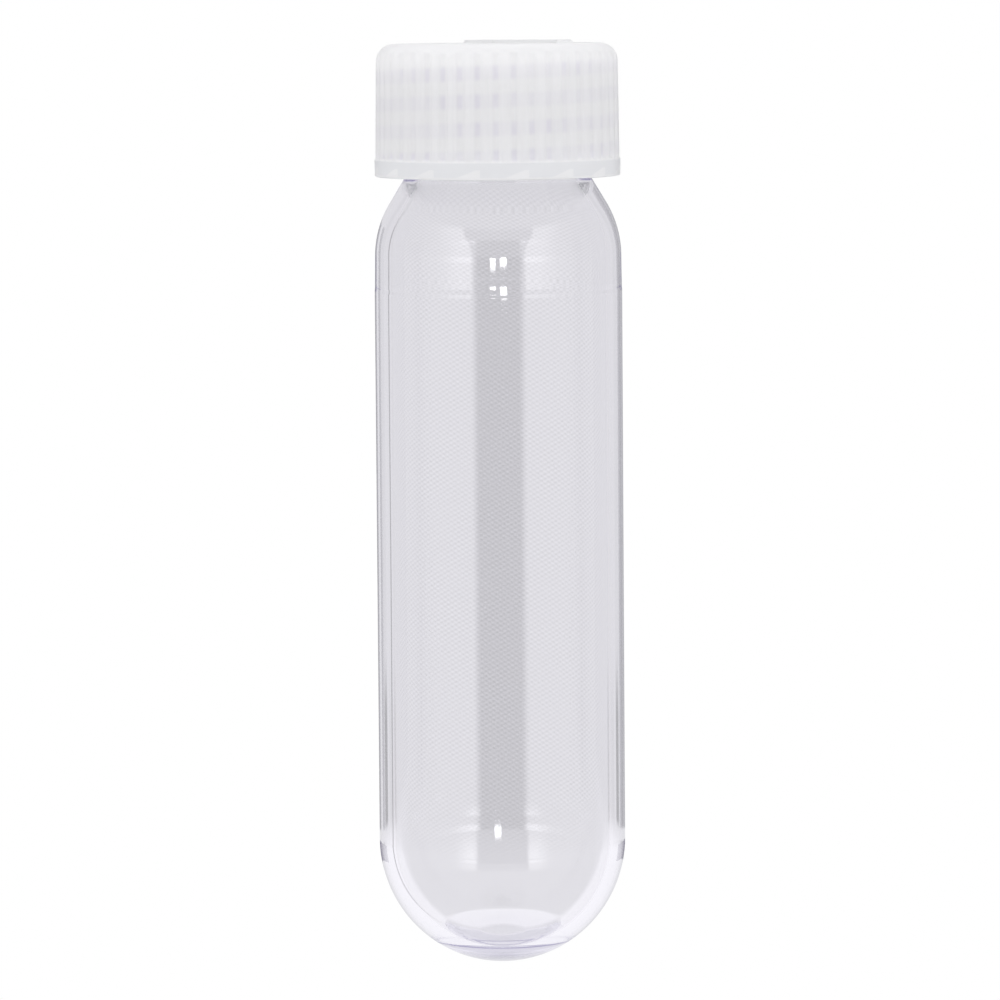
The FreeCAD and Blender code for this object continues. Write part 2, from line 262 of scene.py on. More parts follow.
def tube_rows():
    """The tube's section, up the outside and down the inside, and which rows carry the thread.

    The last number of each stretch is how many rows it is divided into.
    """
    upper = BARREL - SHOULDER_STEP
    bend = upper - SHOULDER_ROUND
    slope_degrees = math.degrees(SLOPE)
    pole_angle, insert_inner, insert_outer = [
        -math.degrees(math.acos(r / BARREL))
        for r in (POLE_FLAT, INSERT_LINE - INSERT_HALF, INSERT_LINE + INSERT_HALF)
    ]
    insert_height = CENTRE - math.sqrt(BARREL ** 2 - INSERT_LINE ** 2) + INSERT_DEPTH
    outside = [(0, 0), (POLE_FLAT * 0.5, 0)]
    outside += arc(0, CENTRE, BARREL, pole_angle, insert_inner, 20)
    outside += [(INSERT_LINE, insert_height)]
    outside += arc(0, CENTRE, BARREL, insert_outer, 0, 44)
    outside += wall(outside[-1], (BARREL, RING_FOOT), 12)
    floor = BARREL - RING_DEPTH
    ring_top = RING_FOOT + RING_WIDTH
    outside += line(outside[-1], (floor, RING_FOOT + RING_FLANK), 3)
    outside += wall(outside[-1], (floor, ring_top - RING_FLANK), 2)
    outside += line(outside[-1], (BARREL - RING_STEP, ring_top), 3)
    outside += wall(outside[-1], (upper, SHOULDER_FOOT), 6)
    outside += arc(bend, SHOULDER_FOOT, SHOULDER_ROUND, 0, slope_degrees, 20)[1:]
    cone = outside[-1]
    neck_foot = cone[1] + (cone[0] - NECK) / math.tan(SLOPE)
    outside += line(cone, (NECK, neck_foot), 6)
    thread_first = len(outside)
    outside += line(outside[-1], (NECK, RIM - RIM_ROUND), 130)
    thread_last = len(outside)
    outside += arc(NECK - RIM_ROUND, RIM - RIM_ROUND, RIM_ROUND, 0, 90, 6)[1:]
    inner_bend = SHOULDER_ROUND - WALL
    inside = arc(MOUTH + RIM_ROUND, RIM - RIM_ROUND, RIM_ROUND, 90, 180, 6)
    inner_r = bend + inner_bend * math.cos(SLOPE)
    inner_z = SHOULDER_FOOT + inner_bend * math.sin(SLOPE)
    inside += line(inside[-1], (MOUTH, inner_z + (inner_r - MOUTH) / math.tan(SLOPE)), 16)
    inside += line(inside[-1], (inner_r, inner_z), 6)
    inside += arc(bend, SHOULDER_FOOT, inner_bend, slope_degrees, 0, 20)[1:]
    inside += wall(inside[-1], (BORE, CENTRE), 14)
    inside += arc(0, CENTRE, BORE, 0, -math.degrees(math.acos(FLOOR_EDGE / BORE)), 56)[1:]
    inside += line(inside[-1], (0.1 * FLOOR_EDGE, inside[-1][1]), 12)
    inside += [(0, inside[-1][1])]
    return outside + inside, (thread_first, thread_last)


def make_tube():
    """The clear tube in one piece, with the thread's ridge raised on its neck."""
    rows, (first, last) = tube_rows()

    def shift(number, r, z, angle):
        if not first <= number < last:
            return r, z
        rise = ridge_rise(z, angle, NECK_RIDGE_START, 0, NECK_RIDGE_TURNS)
        return r + rise, z

    return lathe("clear_tube", rows, TUBE_COLUMNS, shift)


# ------------------------------------------------------------------ the cap

def arrow_rise(x, y):
    """Height of the raised turning arrow over the cap's top."""
    radius = math.hypot(x, y)
    turn = (math.atan2(y, x) - MARK_START) % TURN
    if turn > math.pi * 1.5:
        turn -= TURN
    middle = (MARK_INNER + MARK_OUTER) / 2
    half = (MARK_OUTER - MARK_INNER) / 2
    if turn > MARK_STEM_TURN:
        tip_share = (MARK_TIP_TURN - turn) / (MARK_TIP_TURN - MARK_STEM_TURN)
        half = (half + MARK_HEAD) * max(0.0, tip_share)
    side = half - abs(radius - middle)
    tail = turn * middle
    inside = min(side, tail, (MARK_TIP_TURN - turn) * middle)
    return MARK_RISE * smooth(-MARK_SLOPE, MARK_SLOPE, inside)


def notch_rise(angle):
    """Height of the ratchet notches' roof over the cap's lower edge: a ramp with a steep end."""
    step = TURN / NOTCHES
    length = NOTCH_LENGTH / ((CAP_BORE + NOTCH_BACK) / 2)
    behind = (NOTCH_END - angle) % step
    if behind > length:
        return 0.0
    share = 1 - behind / length
    ramp = math.sin(min(1.0, share / NOTCH_CREST) * math.pi / 2)
    return NOTCH_DEPTH * ramp * (1 - NOTCH_SINK * smooth(NOTCH_CREST, 1.0, share))


def rib_cut(angle, r):
    """1 in the groove between two ribs and 0 on a rib."""
    step = TURN / RIBS
    offset = abs((angle - CAP_TURNED + step / 2) % step - step / 2) * r
    return 1 - smooth(RIB_GAP / 2 - RIB_SLOPE, RIB_GAP / 2 + RIB_SLOPE, offset)


def cap_rows():
    """The cap's section, from its ceiling down the inside, round the foot and up to the top's middle.

    Also returns which rows carry the thread, the notches and the ribs.
    """
    rows = [(0, CAP_CEILING)]
    rows += [(POCKET * share, CAP_CEILING) for share in CEILING_ROWS]
    rows += [(POCKET, CAP_CEILING - CAP_CREASE)]
    rows += [(POCKET, BEAD_MIDDLE + BEAD_HALF)]
    rows += [(BEAD_INNER, BEAD_MIDDLE + BEAD_CREST), (BEAD_INNER, BEAD_MIDDLE - BEAD_CREST)]
    rows += [(CAP_BORE, BEAD_MIDDLE - CAP_BORE + BEAD_INNER)]
    thread_first = len(rows)
    rows += line(rows[-1], (CAP_BORE, CAP_FOOT + CAP_SKIRT), 84)
    thread_last = len(rows)
    notch_first = len(rows)
    rows += [(CAP_BORE, CAP_FOOT), (CAP_BORE + NOTCH_STEP, CAP_FOOT)]
    rows += [(NOTCH_BACK - NOTCH_STEP, CAP_FOOT)]
    notch_last = len(rows)
    rows += [(NOTCH_BACK, CAP_FOOT), (NOTCH_BACK + CAP_CREASE, CAP_FOOT)]
    edge = SMALL_EDGE
    middle = edge * EDGE_MIDDLE
    rows += [(CAP_FOOT_SIDE - edge, CAP_FOOT), (CAP_FOOT_SIDE - middle, CAP_FOOT + middle)]
    rows += [(CAP_FOOT_SIDE, CAP_FOOT + edge)]
    rows += line(rows[-1], (CAP_BAND_SIDE, CAP_FOOT + CAP_BAND - BAND_STEP), 3)
    rows += [(CAP_BAND_SIDE, CAP_FOOT + CAP_BAND)]
    rib_first = len(rows)
    side_top = CAP_TOP - CAP_CORNER
    rows += [(CAP_SIDE_LOW, RIB_START)]
    rows += line(rows[-1], (CAP_SIDE_LOW - RIB_TUCK, RIB_FULL), 2)
    rows += line(rows[-1], (CAP_SIDE_TOP, side_top), 14)
    rows += arc(CAP_SIDE_TOP - CAP_CORNER, side_top, CAP_CORNER, 0, 90, 16)[1:]
    rib_last = len(rows)
    edge_r = CAP_SIDE_TOP - CAP_CORNER
    rows += line(rows[-1], (edge_r * TOP_OUTER_ROW, CAP_TOP), 3)
    rows += line(rows[-1], (MARK_INNER - MARK_CLEAR, CAP_TOP), 34)
    rows += line(rows[-1], (0, CAP_TOP), 4)
    return rows, (thread_first, thread_last), (notch_first, notch_last), (rib_first, rib_last)


def make_cap():
    """The cap in one piece: inner ridge, notches in the foot, ribs on the side and the arrow on top."""
    rows, thread, notch, rib = cap_rows()
    arrow_first = rib[1]

    def shift(number, r, z, angle):
        if thread[0] <= number < thread[1]:
            rise = ridge_rise(z, angle, CAP_RIDGE_START, CAP_TURNED, CAP_RIDGE_TURNS)
            return r - rise, z
        if notch[0] <= number < notch[1]:
            return r, z + notch_rise(angle)
        if rib[0] <= number < rib[1]:
            climb = (z - RIB_START) / (CAP_TOP - CAP_CORNER - RIB_START)
            side = CAP_SIDE_LOW + (CAP_SIDE_TOP - CAP_SIDE_LOW) * climb
            floor = min(side, CAP_SIDE_LOW) - RIB_DEPTH
            depth = max(0.0, r - floor) * smooth(RIB_START, RIB_START + RIB_DEPTH, z)
            return r - depth * rib_cut(angle, CAP_SIDE_LOW), z
        if number >= arrow_first:
            return r, z + arrow_rise(r * math.cos(angle), r * math.sin(angle))
        return r, z

    return lathe("ribbed_cap", rows, CAP_COLUMNS, shift)


# ------------------------------------------------------------------ the gasket

def make_gasket():
    """A flat disc with rounded edges, of the size in the frame."""
    low, high = GASKET_LOW.z, GASKET_HIGH.z
    outer = GASKET_HIGH.x
    edge = SMALL_EDGE
    rows = [(0, low)]
    rows += [(outer * share, low) for share in GASKET_ROWS]
    rows += arc(outer - edge, low + edge, edge, -90, 0, 5)
    rows += arc(outer - edge, high - edge, edge, 0, 90, 5)
    rows += [(outer * share, high) for share in reversed(GASKET_ROWS)]
    rows += [(0, high)]
    return lathe("silicone_gasket", rows, GASKET_COLUMNS)


# ------------------------------------------------------------------ node helpers

def new_material(name):
    """A material with only an output node."""
    material = bpy.data.materials.new(name)
    material.use_nodes = True
    material.node_tree.nodes.clear()
    output = material.node_tree.nodes.new("ShaderNodeOutputMaterial")
    return material, material.node_tree, output


def add(tree, kind, **values):
    """A node with its inputs set by name, and with plain properties set where it has them."""
    node = tree.nodes.new(kind)
    for name, value in values.items():
        if hasattr(node, name):
            setattr(node, name, value)
        else:
            node.inputs[name.replace("_", " ")].default_value = value
    return node


def step_over(tree, value, low, high):
    """A soft step of a value, as a socket."""
    node = add(tree, "ShaderNodeMapRange", interpolation_type="SMOOTHSTEP")
    node.inputs["From Min"].default_value = low
    node.inputs["From Max"].default_value = high
    tree.links.new(value, node.inputs["Value"])
    return node.outputs["Result"]


def mix(tree, share, first, second):
    """A colour between two, each a socket or a colour, as a socket."""
    node = add(tree, "ShaderNodeMixRGB")
    tree.links.new(share, node.inputs["Fac"])
    for value, name in ((first, "Color1"), (second, "Color2")):
        if isinstance(value, tuple):
            node.inputs[name].default_value = value
        else:
            tree.links.new(value, node.inputs[name])
    return node.outputs["Color"]


def math_node(tree, operation, *values):
    """The result of one sum, each value a socket or a number, as a socket."""
    node = add(tree, "ShaderNodeMath", operation=operation)
    for number, value in enumerate(values):
        if isinstance(value, (int, float)):
            node.inputs[number].default_value = value
        else:
            tree.links.new(value, node.inputs[number])
    return node.outputs["Value"]


def window(tree, value, low, high, soft):
    """1 while a value is between two limits, with soft edges, as a socket."""
    rises = step_over(tree, value, low - soft, low + soft)
    falls = step_over(tree, value, high - soft, high + soft)
    return math_node(tree, "SUBTRACT", rises, falls)


def noise(tree, where, scale, detail):
    """A noise pattern from 0 to 1, as a socket."""
    node = add(tree, "ShaderNodeTexNoise", Scale=scale, Detail=detail)
    tree.links.new(where, node.inputs["Vector"])
    return node.outputs["Fac"]


def bump(tree, height, strength, distance):
    """The normal of a surface roughened by a pattern, as a socket."""
    node = add(tree, "ShaderNodeBump", Strength=strength, Distance=distance)
    tree.links.new(height, node.inputs["Height"])
    return node.outputs["Normal"]


def blend(tree, share, first, second):
    """Two shaders mixed by a number or a socket, as a socket."""
    node = add(tree, "ShaderNodeMixShader")
    if isinstance(share, float):
        node.inputs["Fac"].default_value = share
    else:
        tree.links.new(share, node.inputs["Fac"])
    tree.links.new(first, node.inputs[1])
    tree.links.new(second, node.inputs[2])
    return node.outputs["Shader"]


# ------------------------------------------------------------------ materials

# Clear polycarbonate: its tint at each surface and through its depth, and its moulded flow marks
CLEAR_INDEX = 1.585
CLEAR_ROUGHNESS = 0.015
CLEAR_TINT = (0.987, 0.987, 0.988, 1)
DEPTH_TINT = (0.42, 0.35, 0.85, 1)
DEPTH_DENSITY = 11.0
FLOW_SCALE = (90, 90, 14)
FLOW_HEIGHT = 0.04 * MM
FLOW_STRENGTH = 0.25
FINE_SCALE = 2600.0
FINE_SHARE = 0.002
# Paths that are still inside the clear wall after many bounces end in a painted glow: a faint even emission
# that stands in for their light
CAUGHT_DEPTH = 14
CAUGHT_PAINTED_GLOW = (0.42, 0.40, 0.52, 1)

# Natural polypropylene with painted light and shade in its tone: painted white light over its thick parts,
# painted violet-grey shade over its thin parts and grooves, painted light over its notches, and darker tones
# over its band and top plate
MILKY_INDEX = 1.49
CAP_ROUGHNESS = 0.32
MILK_TINT = (0.99, 0.99, 0.995, 1)
GLASSY_TINT = (0.98, 0.98, 0.985, 1)
GLASSY_ROUGHNESS = 0.25
# Painted white light over the thick parts and painted violet-grey shade over the thin parts
CAP_LIT_THICK = (0.995, 0.995, 0.992, 1)
CAP_SHADED_THIN = (0.85, 0.83, 0.905, 1)
CAP_BAND_TONE = (0.90, 0.91, 0.925, 1)
CAP_PLATE = (0.90, 0.90, 0.91, 1)
# Painted light over the notches and along the foot's lip
CAP_NOTCH_LIGHT = (0.999, 0.999, 0.999, 1)
# How far the ridge's painted white light reaches either side of it, in turns, and the same for a groove's
# painted shade, in ribs
RIDGE_EDGE = (0.14, 0.36)
GROOVE_EDGE = (0.05, 0.24)
# How much of the thin wall's painted shade shows on a rib, and how much less a groove's painted shade shows
# where it is faint
RIB_SHARE = 0.3
FAINT_SHARE = 0.25
PATCH_SCALE = 150.0
PATCH_EDGE = (0.35, 0.62)
# The cloudiness of the plastic
CLOUD_SCALE = 260.0
CLOUD_DEPTH = 0.16
# Whole turns that are added before a fraction is taken, so that it is never of a negative number
SPARE_TURNS = 10
# Heights between which painted white light covers the wall behind the top plate and the band, between which
# the top's and the band's own tones begin, and how far above the foot its painted bright lip ends
PLATE_EDGE = (CAP_CEILING - 1.0 * MM, CAP_CEILING + 0.2 * MM)
FOOT_EDGE = (CAP_FOOT + 2.4 * MM, CAP_FOOT + 1.9 * MM)
TOP_EDGE = (CAP_CEILING - 0.6 * MM, CAP_TOP)
BAND_EDGE = (CAP_FOOT + 2.0 * MM, CAP_FOOT + 1.9 * MM)
LIP_EDGE = (0.35 * MM, 0.20 * MM)
NOTCH_SOFT = 0.08 * MM
# How the cap's light is shared: the milky part in the whole, and the clear part in the milky one
MILKY_SHARE = 0.5
GLASSY_SHARE = 0.15

# The fine grain of the cap's and the gasket's skins
GRAIN_HEIGHT = 0.05 * MM
CAP_GRAIN = 3200.0
CAP_GRAIN_STRENGTH = 0.2
SILICONE_GRAIN = 1800.0
SILICONE_GRAIN_STRENGTH = 0.15

# Silicone: matt, and cloudy near its surface
SILICONE_INDEX = 1.41
SILICONE_ROUGHNESS = 0.55
SILICONE_CLOUD = 0.3
SILICONE_TINT = (0.93, 0.93, 0.92, 1)
SILICONE_DEPTH = 2.0 * MM


def clear_plastic():
    """Polished clear polycarbonate, violet in its depth, with faint flow marks along the tube."""
    material, tree, output = new_material("clear_polycarbonate")
    link = tree.links.new
    surface = add(tree, "ShaderNodeBsdfPrincipled", Roughness=CLEAR_ROUGHNESS, IOR=CLEAR_INDEX)
    surface.inputs["Transmission Weight"].default_value = 1.0
    surface.inputs["Base Color"].default_value = CLEAR_TINT
    depth = add(tree, "ShaderNodeVolumeAbsorption", Color=DEPTH_TINT, Density=DEPTH_DENSITY)
    link(depth.outputs["Volume"], output.inputs["Volume"])
    where = add(tree, "ShaderNodeTexCoord").outputs["Object"]
    stretch = add(tree, "ShaderNodeMapping", Scale=FLOW_SCALE)
    link(where, stretch.inputs["Vector"])
    flow = noise(tree, stretch.outputs["Vector"], 1.0, 2.0)
    fine = noise(tree, where, FINE_SCALE, 3.0)
    height = math_node(tree, "MULTIPLY_ADD", fine, FINE_SHARE, flow)
    link(bump(tree, height, FLOW_STRENGTH, FLOW_HEIGHT), surface.inputs["Normal"])
    path = add(tree, "ShaderNodeLightPath")
    # Painted glow for paths caught deep inside the clear wall
    caught = math_node(tree, "GREATER_THAN", path.outputs["Ray Depth"], CAUGHT_DEPTH)
    glow = add(tree, "ShaderNodeEmission", Color=CAUGHT_PAINTED_GLOW)
    whole = blend(tree, caught, surface.outputs["BSDF"], glow.outputs["Emission"])
    link(whole, output.inputs["Surface"])
    return material


def ridge_light_band(tree, height, angle):
    """1 where the cap's thread ridge, plate or band backs the wall, which takes painted white light, and 0
    between the turns.
    """
    above = math_node(tree, "SUBTRACT", height, CAP_RIDGE_START)
    climb = math_node(tree, "DIVIDE", above, PITCH)
    turn = math_node(tree, "DIVIDE", math_node(tree, "SUBTRACT", angle, CAP_TURNED), TURN)
    lap = math_node(tree, "ADD", math_node(tree, "SUBTRACT", climb, turn), SPARE_TURNS + 0.5)
    offset = math_node(tree, "ABSOLUTE", math_node(tree, "SUBTRACT", math_node(tree, "FRACT", lap), 0.5))
    band = math_node(tree, "SUBTRACT", 1, step_over(tree, offset, *RIDGE_EDGE))
    plate = step_over(tree, height, *PLATE_EDGE)
    foot = step_over(tree, height, *FOOT_EDGE)
    return math_node(tree, "MAXIMUM", band, math_node(tree, "MAXIMUM", plate, foot))


def groove_shade(tree, angle):
    """1 along the middle of each groove between two ribs, where painted shade darkens the cap."""
    share = math_node(tree, "MULTIPLY", math_node(tree, "SUBTRACT", angle, CAP_TURNED), RIBS / TURN)
    middle = math_node(tree, "FRACT", math_node(tree, "ADD", share, RIBS + 0.5))
    offset = math_node(tree, "ABSOLUTE", math_node(tree, "SUBTRACT", middle, 0.5))
    return math_node(tree, "SUBTRACT", 1, step_over(tree, offset, *GROOVE_EDGE))


def notch_light(tree, height, angle):
    """1 where a ratchet notch lies behind the cap's foot, and along the foot's lip: where painted light
    brightens the cap.
    """
    step = TURN / NOTCHES
    length = NOTCH_LENGTH / ((CAP_BORE + NOTCH_BACK) / 2)
    laps = math_node(tree, "DIVIDE", math_node(tree, "SUBTRACT", NOTCH_END + TURN, angle), step)
    lap_share = math_node(tree, "FRACT", math_node(tree, "ADD", laps, NOTCHES))
    share = math_node(tree, "SUBTRACT", 1, math_node(tree, "MULTIPLY", lap_share, step / length))
    climb = math_node(tree, "MULTIPLY", share, NOTCH_DEPTH / NOTCH_CREST)
    ramp = math_node(tree, "MINIMUM", climb, NOTCH_DEPTH)
    above = math_node(tree, "SUBTRACT", height, CAP_FOOT)
    notch = step_over(tree, math_node(tree, "SUBTRACT", ramp, above), -NOTCH_SOFT, NOTCH_SOFT)
    return math_node(tree, "MAXIMUM", notch, step_over(tree, above, *LIP_EDGE))


def cap_tone_and_light(tree, where):
    """The cap's tone: painted white light over its thick parts and notches, painted violet-grey shade over
    its thin parts and grooves, a random cloudiness, and darker tones over its top plate and band.
    """
    parts = add(tree, "ShaderNodeSeparateXYZ")
    tree.links.new(where, parts.inputs["Vector"])
    height = parts.outputs["Z"]
    angle = math_node(tree, "ARCTAN2", parts.outputs["Y"], parts.outputs["X"])
    strong = step_over(tree, noise(tree, where, PATCH_SCALE, 1.0), *PATCH_EDGE)
    strong = math_node(tree, "MULTIPLY_ADD", strong, 1 - FAINT_SHARE, FAINT_SHARE)
    grooves = math_node(tree, "MULTIPLY", groove_shade(tree, angle), strong)
    marks = math_node(tree, "MULTIPLY_ADD", grooves, 1 - RIB_SHARE, RIB_SHARE)
    thin = math_node(tree, "SUBTRACT", 1, ridge_light_band(tree, height, angle))
    thin = math_node(tree, "MULTIPLY", thin, marks)
    cloudy = noise(tree, where, CLOUD_SCALE, 3.0)
    cloudy = math_node(tree, "MULTIPLY_ADD", cloudy, CLOUD_DEPTH, -CLOUD_DEPTH / 2)
    thin = math_node(tree, "ADD", thin, cloudy)
    tone = mix(tree, thin, CAP_LIT_THICK, CAP_SHADED_THIN)
    tone = mix(tree, step_over(tree, height, *TOP_EDGE), tone, CAP_PLATE)
    tone = mix(tree, step_over(tree, height, *BAND_EDGE), tone, CAP_BAND_TONE)
    return mix(tree, notch_light(tree, height, angle), tone, CAP_NOTCH_LIGHT)


def natural_plastic():
    """Natural polypropylene: a satin skin with a fine grain over a milky, slightly see-through body."""
    material, tree, output = new_material("natural_polypropylene")
    where = add(tree, "ShaderNodeTexCoord").outputs["Object"]
    skin = add(tree, "ShaderNodeBsdfPrincipled", Roughness=CAP_ROUGHNESS, IOR=MILKY_INDEX)
    milk = add(tree, "ShaderNodeBsdfTranslucent", Color=MILK_TINT)
    glassy = add(tree, "ShaderNodeBsdfRefraction", Color=GLASSY_TINT, IOR=MILKY_INDEX)
    glassy.inputs["Roughness"].default_value = GLASSY_ROUGHNESS
    # The skin's base colour carries the cap's painted light and shade
    tree.links.new(cap_tone_and_light(tree, where), skin.inputs["Base Color"])
    grain = bump(tree, noise(tree, where, CAP_GRAIN, 3.0), CAP_GRAIN_STRENGTH, GRAIN_HEIGHT)
    for shader in (skin, milk, glassy):
        tree.links.new(grain, shader.inputs["Normal"])
    inner = blend(tree, GLASSY_SHARE, milk.outputs["BSDF"], glassy.outputs["BSDF"])
    whole = blend(tree, MILKY_SHARE, skin.outputs["BSDF"], inner)
    tree.links.new(whole, output.inputs["Surface"])
    return material


def silicone():
    """Translucent white silicone with a matt skin."""
    material, tree, output = new_material("translucent_silicone")
    surface = add(tree, "ShaderNodeBsdfPrincipled", Roughness=SILICONE_ROUGHNESS, IOR=SILICONE_INDEX)
    surface.inputs["Base Color"].default_value = SILICONE_TINT
    surface.inputs["Subsurface Weight"].default_value = SILICONE_CLOUD
    surface.inputs["Subsurface Radius"].default_value = (SILICONE_DEPTH,) * 3
    where = add(tree, "ShaderNodeTexCoord").outputs["Object"]
    rough = noise(tree, where, SILICONE_GRAIN, 2.0)
    grain = bump(tree, rough, SILICONE_GRAIN_STRENGTH, GRAIN_HEIGHT)
    tree.links.new(grain, surface.inputs["Normal"])
    tree.links.new(surface.outputs["BSDF"], output.inputs["Surface"])
    return material


# ------------------------------------------------------------------ the studio's light

# The studio's brightness by its bearing from straight behind the object, in degrees. The belt is what the
# barrel's reflections meet: a backdrop, a softbox and the dark gap in which the camera stands.
BELT = [(0, 0.78), (60, 0.95), (120, 1.0), (154.5, 1.02), (157, 0.08), (180, 0.08)]
# The same above and below the belt, where the softboxes are brighter beside the gap
RAISED = [
    (0, 0.78), (57, 0.85), (96, 0.95), (122, 1.2),
    (142, 2.3), (154, 2.4), (157, 0.10), (180, 0.10),
]
LOWERED = [
    (0, 0.78), (57, 0.85), (120, 0.95), (134, 1.1),
    (147, 2.3), (154, 2.3), (157, 0.10), (180, 0.10),
]
# Higher and lower still, where the gap has closed
CLOSED = [(0, 0.80), (180, 0.88)]
OVERHEAD = (0.85, 0.85, 0.862, 1)
# How much more blue than red the studio's light has
STUDIO_BLUE = 1.012
# Reflections that graze the barrel's sides meet dark panels beside the backdrop
GRAZED_LEFT = [
    (0, 0.25), (18, 0.25), (23, 0.85), (28, 0.85),
    (30, 0.05), (34, 0.10), (38, 0.80), (180, 0.80),
]
GRAZED_RIGHT = [(0, 0.35), (19, 0.35), (24, 0.02), (32, 0.02), (37, 0.78), (180, 0.78)]
GRAZED_FOOT = (0.06, 0.05, 0.10, 1)
# What matt surfaces are lit by, from below and from above
SOFT_LOW = (1.26, 1.26, 1.27, 1)
SOFT_HIGH = (1.30, 1.30, 1.30, 1)

# Heights are the Z of a direction. Each pair is where a part of the studio begins and ends, or where one
# part changes into the next, and a SOFT is how soft the edges of a pair are.
BELT_HEIGHTS = (-0.2090, -0.0610)
BELT_SOFT = 0.005
GAP_HEIGHTS = (-0.33, 0.55)
GAP_SOFT = 0.05
LOWERED_TO_RAISED = (-0.15, -0.14)
OVERHEAD_START = (0.6, 0.8)
LEVEL_HEIGHTS = (-0.26, 0.05)
LEVEL_SOFT = 0.02
SOFT_CHANGE = (-0.8, 0.8)
# How far the gap's edges spread towards the top, as a share of half a turn, and between which heights
GAP_FLARE = 13 / 180
FLARE_HEIGHTS = (0.12, 0.60)
# The dark panels reach round to a bearing. Their foot falls and their top rises away from the middle, the
# top more on the right. A slit crosses them, and under the slit they are darkest.
PANEL_REACH = 40 / 180
PANEL_FOOT = -0.2155
PANEL_FOOT_EDGE = (PANEL_FOOT - 0.003, PANEL_FOOT + 0.001)
PANEL_FOOT_FALL = 0.13
PANEL_TOP = -0.05
PANEL_TOP_EDGE = (PANEL_TOP + 0.01, PANEL_TOP - 0.01)
PANEL_TOP_RISE = 0.3
PANEL_TOP_RISE_MORE = 0.35
SLIT_HEIGHTS = (-0.2105, -0.2072)
SLIT_SOFT = 0.0006
UNDER_SLIT = (SLIT_HEIGHTS[0], SLIT_HEIGHTS[0] - 0.002)
# Small lamps: the X and Z of a lamp's direction, and its half width and half height
LAMPS = [
    (-0.089, -0.0020, 0.042, 0.0410),
    (0.077, 0.0030, 0.053, 0.0450),
    (0.085, -0.0706, 0.050, 0.0022),
    (-0.070, -0.2080, 0.050, 0.0013),
]
LAMP_SIDE_SOFT = 0.008
LAMP_HEIGHT_SOFT = 0.0008
LAMP_LIGHT = (16, 16, 16, 1)


def bearing_ramp(tree, bearing, table):
    """A colour ramp over the bearing from straight behind the object."""
    node = add(tree, "ShaderNodeValToRGB")
    stops = node.color_ramp.elements
    stops.remove(stops[-1])
    for number, (degrees, value) in enumerate(table):
        place = degrees / 180
        stop = stops[0] if number == 0 else stops.new(place)
        stop.position = place
        stop.color = (value, value, value * STUDIO_BLUE, 1)
    tree.links.new(bearing, node.inputs["Fac"])
    return node.outputs["Color"]


def direction(tree):
    """A direction's X, Y and Z, and its bearing from straight behind as a share of half a turn."""
    where = add(tree, "ShaderNodeTexCoord")
    parts = add(tree, "ShaderNodeSeparateXYZ")
    tree.links.new(where.outputs["Generated"], parts.inputs["Vector"])
    turn = math_node(tree, "ARCTAN2", parts.outputs["X"], parts.outputs["Y"])
    return parts, math_node(tree, "MULTIPLY", math_node(tree, "ABSOLUTE", turn), 1 / math.pi)


def add_walls(tree, height, bearing, through):
    """The studio's walls and ceiling. Light that comes steeply through the tube sees no gap in them."""
    spread = math_node(tree, "MULTIPLY", step_over(tree, height, *FLARE_HEIGHTS), GAP_FLARE)
    flared = math_node(tree, "ADD", bearing, spread)
    lowered = bearing_ramp(tree, flared, LOWERED)
    raised = bearing_ramp(tree, flared, RAISED)
    outside = mix(tree, step_over(tree, height, *LOWERED_TO_RAISED), lowered, raised)
    belt = bearing_ramp(tree, flared, BELT)
    around = mix(tree, window(tree, height, *BELT_HEIGHTS, BELT_SOFT), outside, belt)
    closed = bearing_ramp(tree, bearing, CLOSED)
    around = mix(tree, window(tree, height, *GAP_HEIGHTS, GAP_SOFT), closed, around)
    colour = mix(tree, step_over(tree, height, *OVERHEAD_START), around, OVERHEAD)
    level = window(tree, height, *LEVEL_HEIGHTS, LEVEL_SOFT)
    steep = math_node(tree, "MAXIMUM", math_node(tree, "SUBTRACT", through, level), 0)
    return mix(tree, steep, colour, closed)


def add_panels(tree, parts, bearing, reflected, colour):
    """Dark panels either side of the backdrop, which outline the barrel by its grazing reflections."""
    height = parts.outputs["Z"]
    right = math_node(tree, "GREATER_THAN", parts.outputs["X"], 0)
    left_side = bearing_ramp(tree, bearing, GRAZED_LEFT)
    right_side = bearing_ramp(tree, bearing, GRAZED_RIGHT)
    panel = mix(tree, right, left_side, right_side)
    under_slit = step_over(tree, height, *UNDER_SLIT)
    panel = mix(tree, under_slit, panel, GRAZED_FOOT)
    side = math_node(tree, "ABSOLUTE", parts.outputs["X"])
    over_foot = math_node(tree, "MULTIPLY_ADD", side, PANEL_FOOT_FALL, height)
    rise = math_node(tree, "MULTIPLY_ADD", right, PANEL_TOP_RISE_MORE, PANEL_TOP_RISE)
    over_top = math_node(tree, "SUBTRACT", height, math_node(tree, "MULTIPLY", side, rise))
    low = step_over(tree, over_foot, *PANEL_FOOT_EDGE)
    high = step_over(tree, over_top, *PANEL_TOP_EDGE)
    slit = window(tree, height, *SLIT_HEIGHTS, SLIT_SOFT)
    share = math_node(tree, "SUBTRACT", math_node(tree, "MULTIPLY", low, high), slit)
    share = math_node(tree, "MULTIPLY", math_node(tree, "MAXIMUM", share, 0), reflected)
    share = math_node(tree, "MULTIPLY", share, math_node(tree, "LESS_THAN", bearing, PANEL_REACH))
    return mix(tree, share, colour, panel)


def add_lamps(tree, parts, reflected, colour):
    """Small bright windows beside the camera, seen only as glints on the outside."""
    for x, z, half_width, half_height in LAMPS:
        across = window(tree, parts.outputs["X"], x - half_width, x + half_width, LAMP_SIDE_SOFT)
        tall = window(tree, parts.outputs["Z"], z - half_height, z + half_height, LAMP_HEIGHT_SOFT)
        towards = math_node(tree, "LESS_THAN", parts.outputs["Y"], 0)
        share = math_node(tree, "MULTIPLY", math_node(tree, "MULTIPLY", across, tall), towards)
        share = math_node(tree, "MULTIPLY", share, reflected)
        colour = mix(tree, share, colour, LAMP_LIGHT)
    return colour


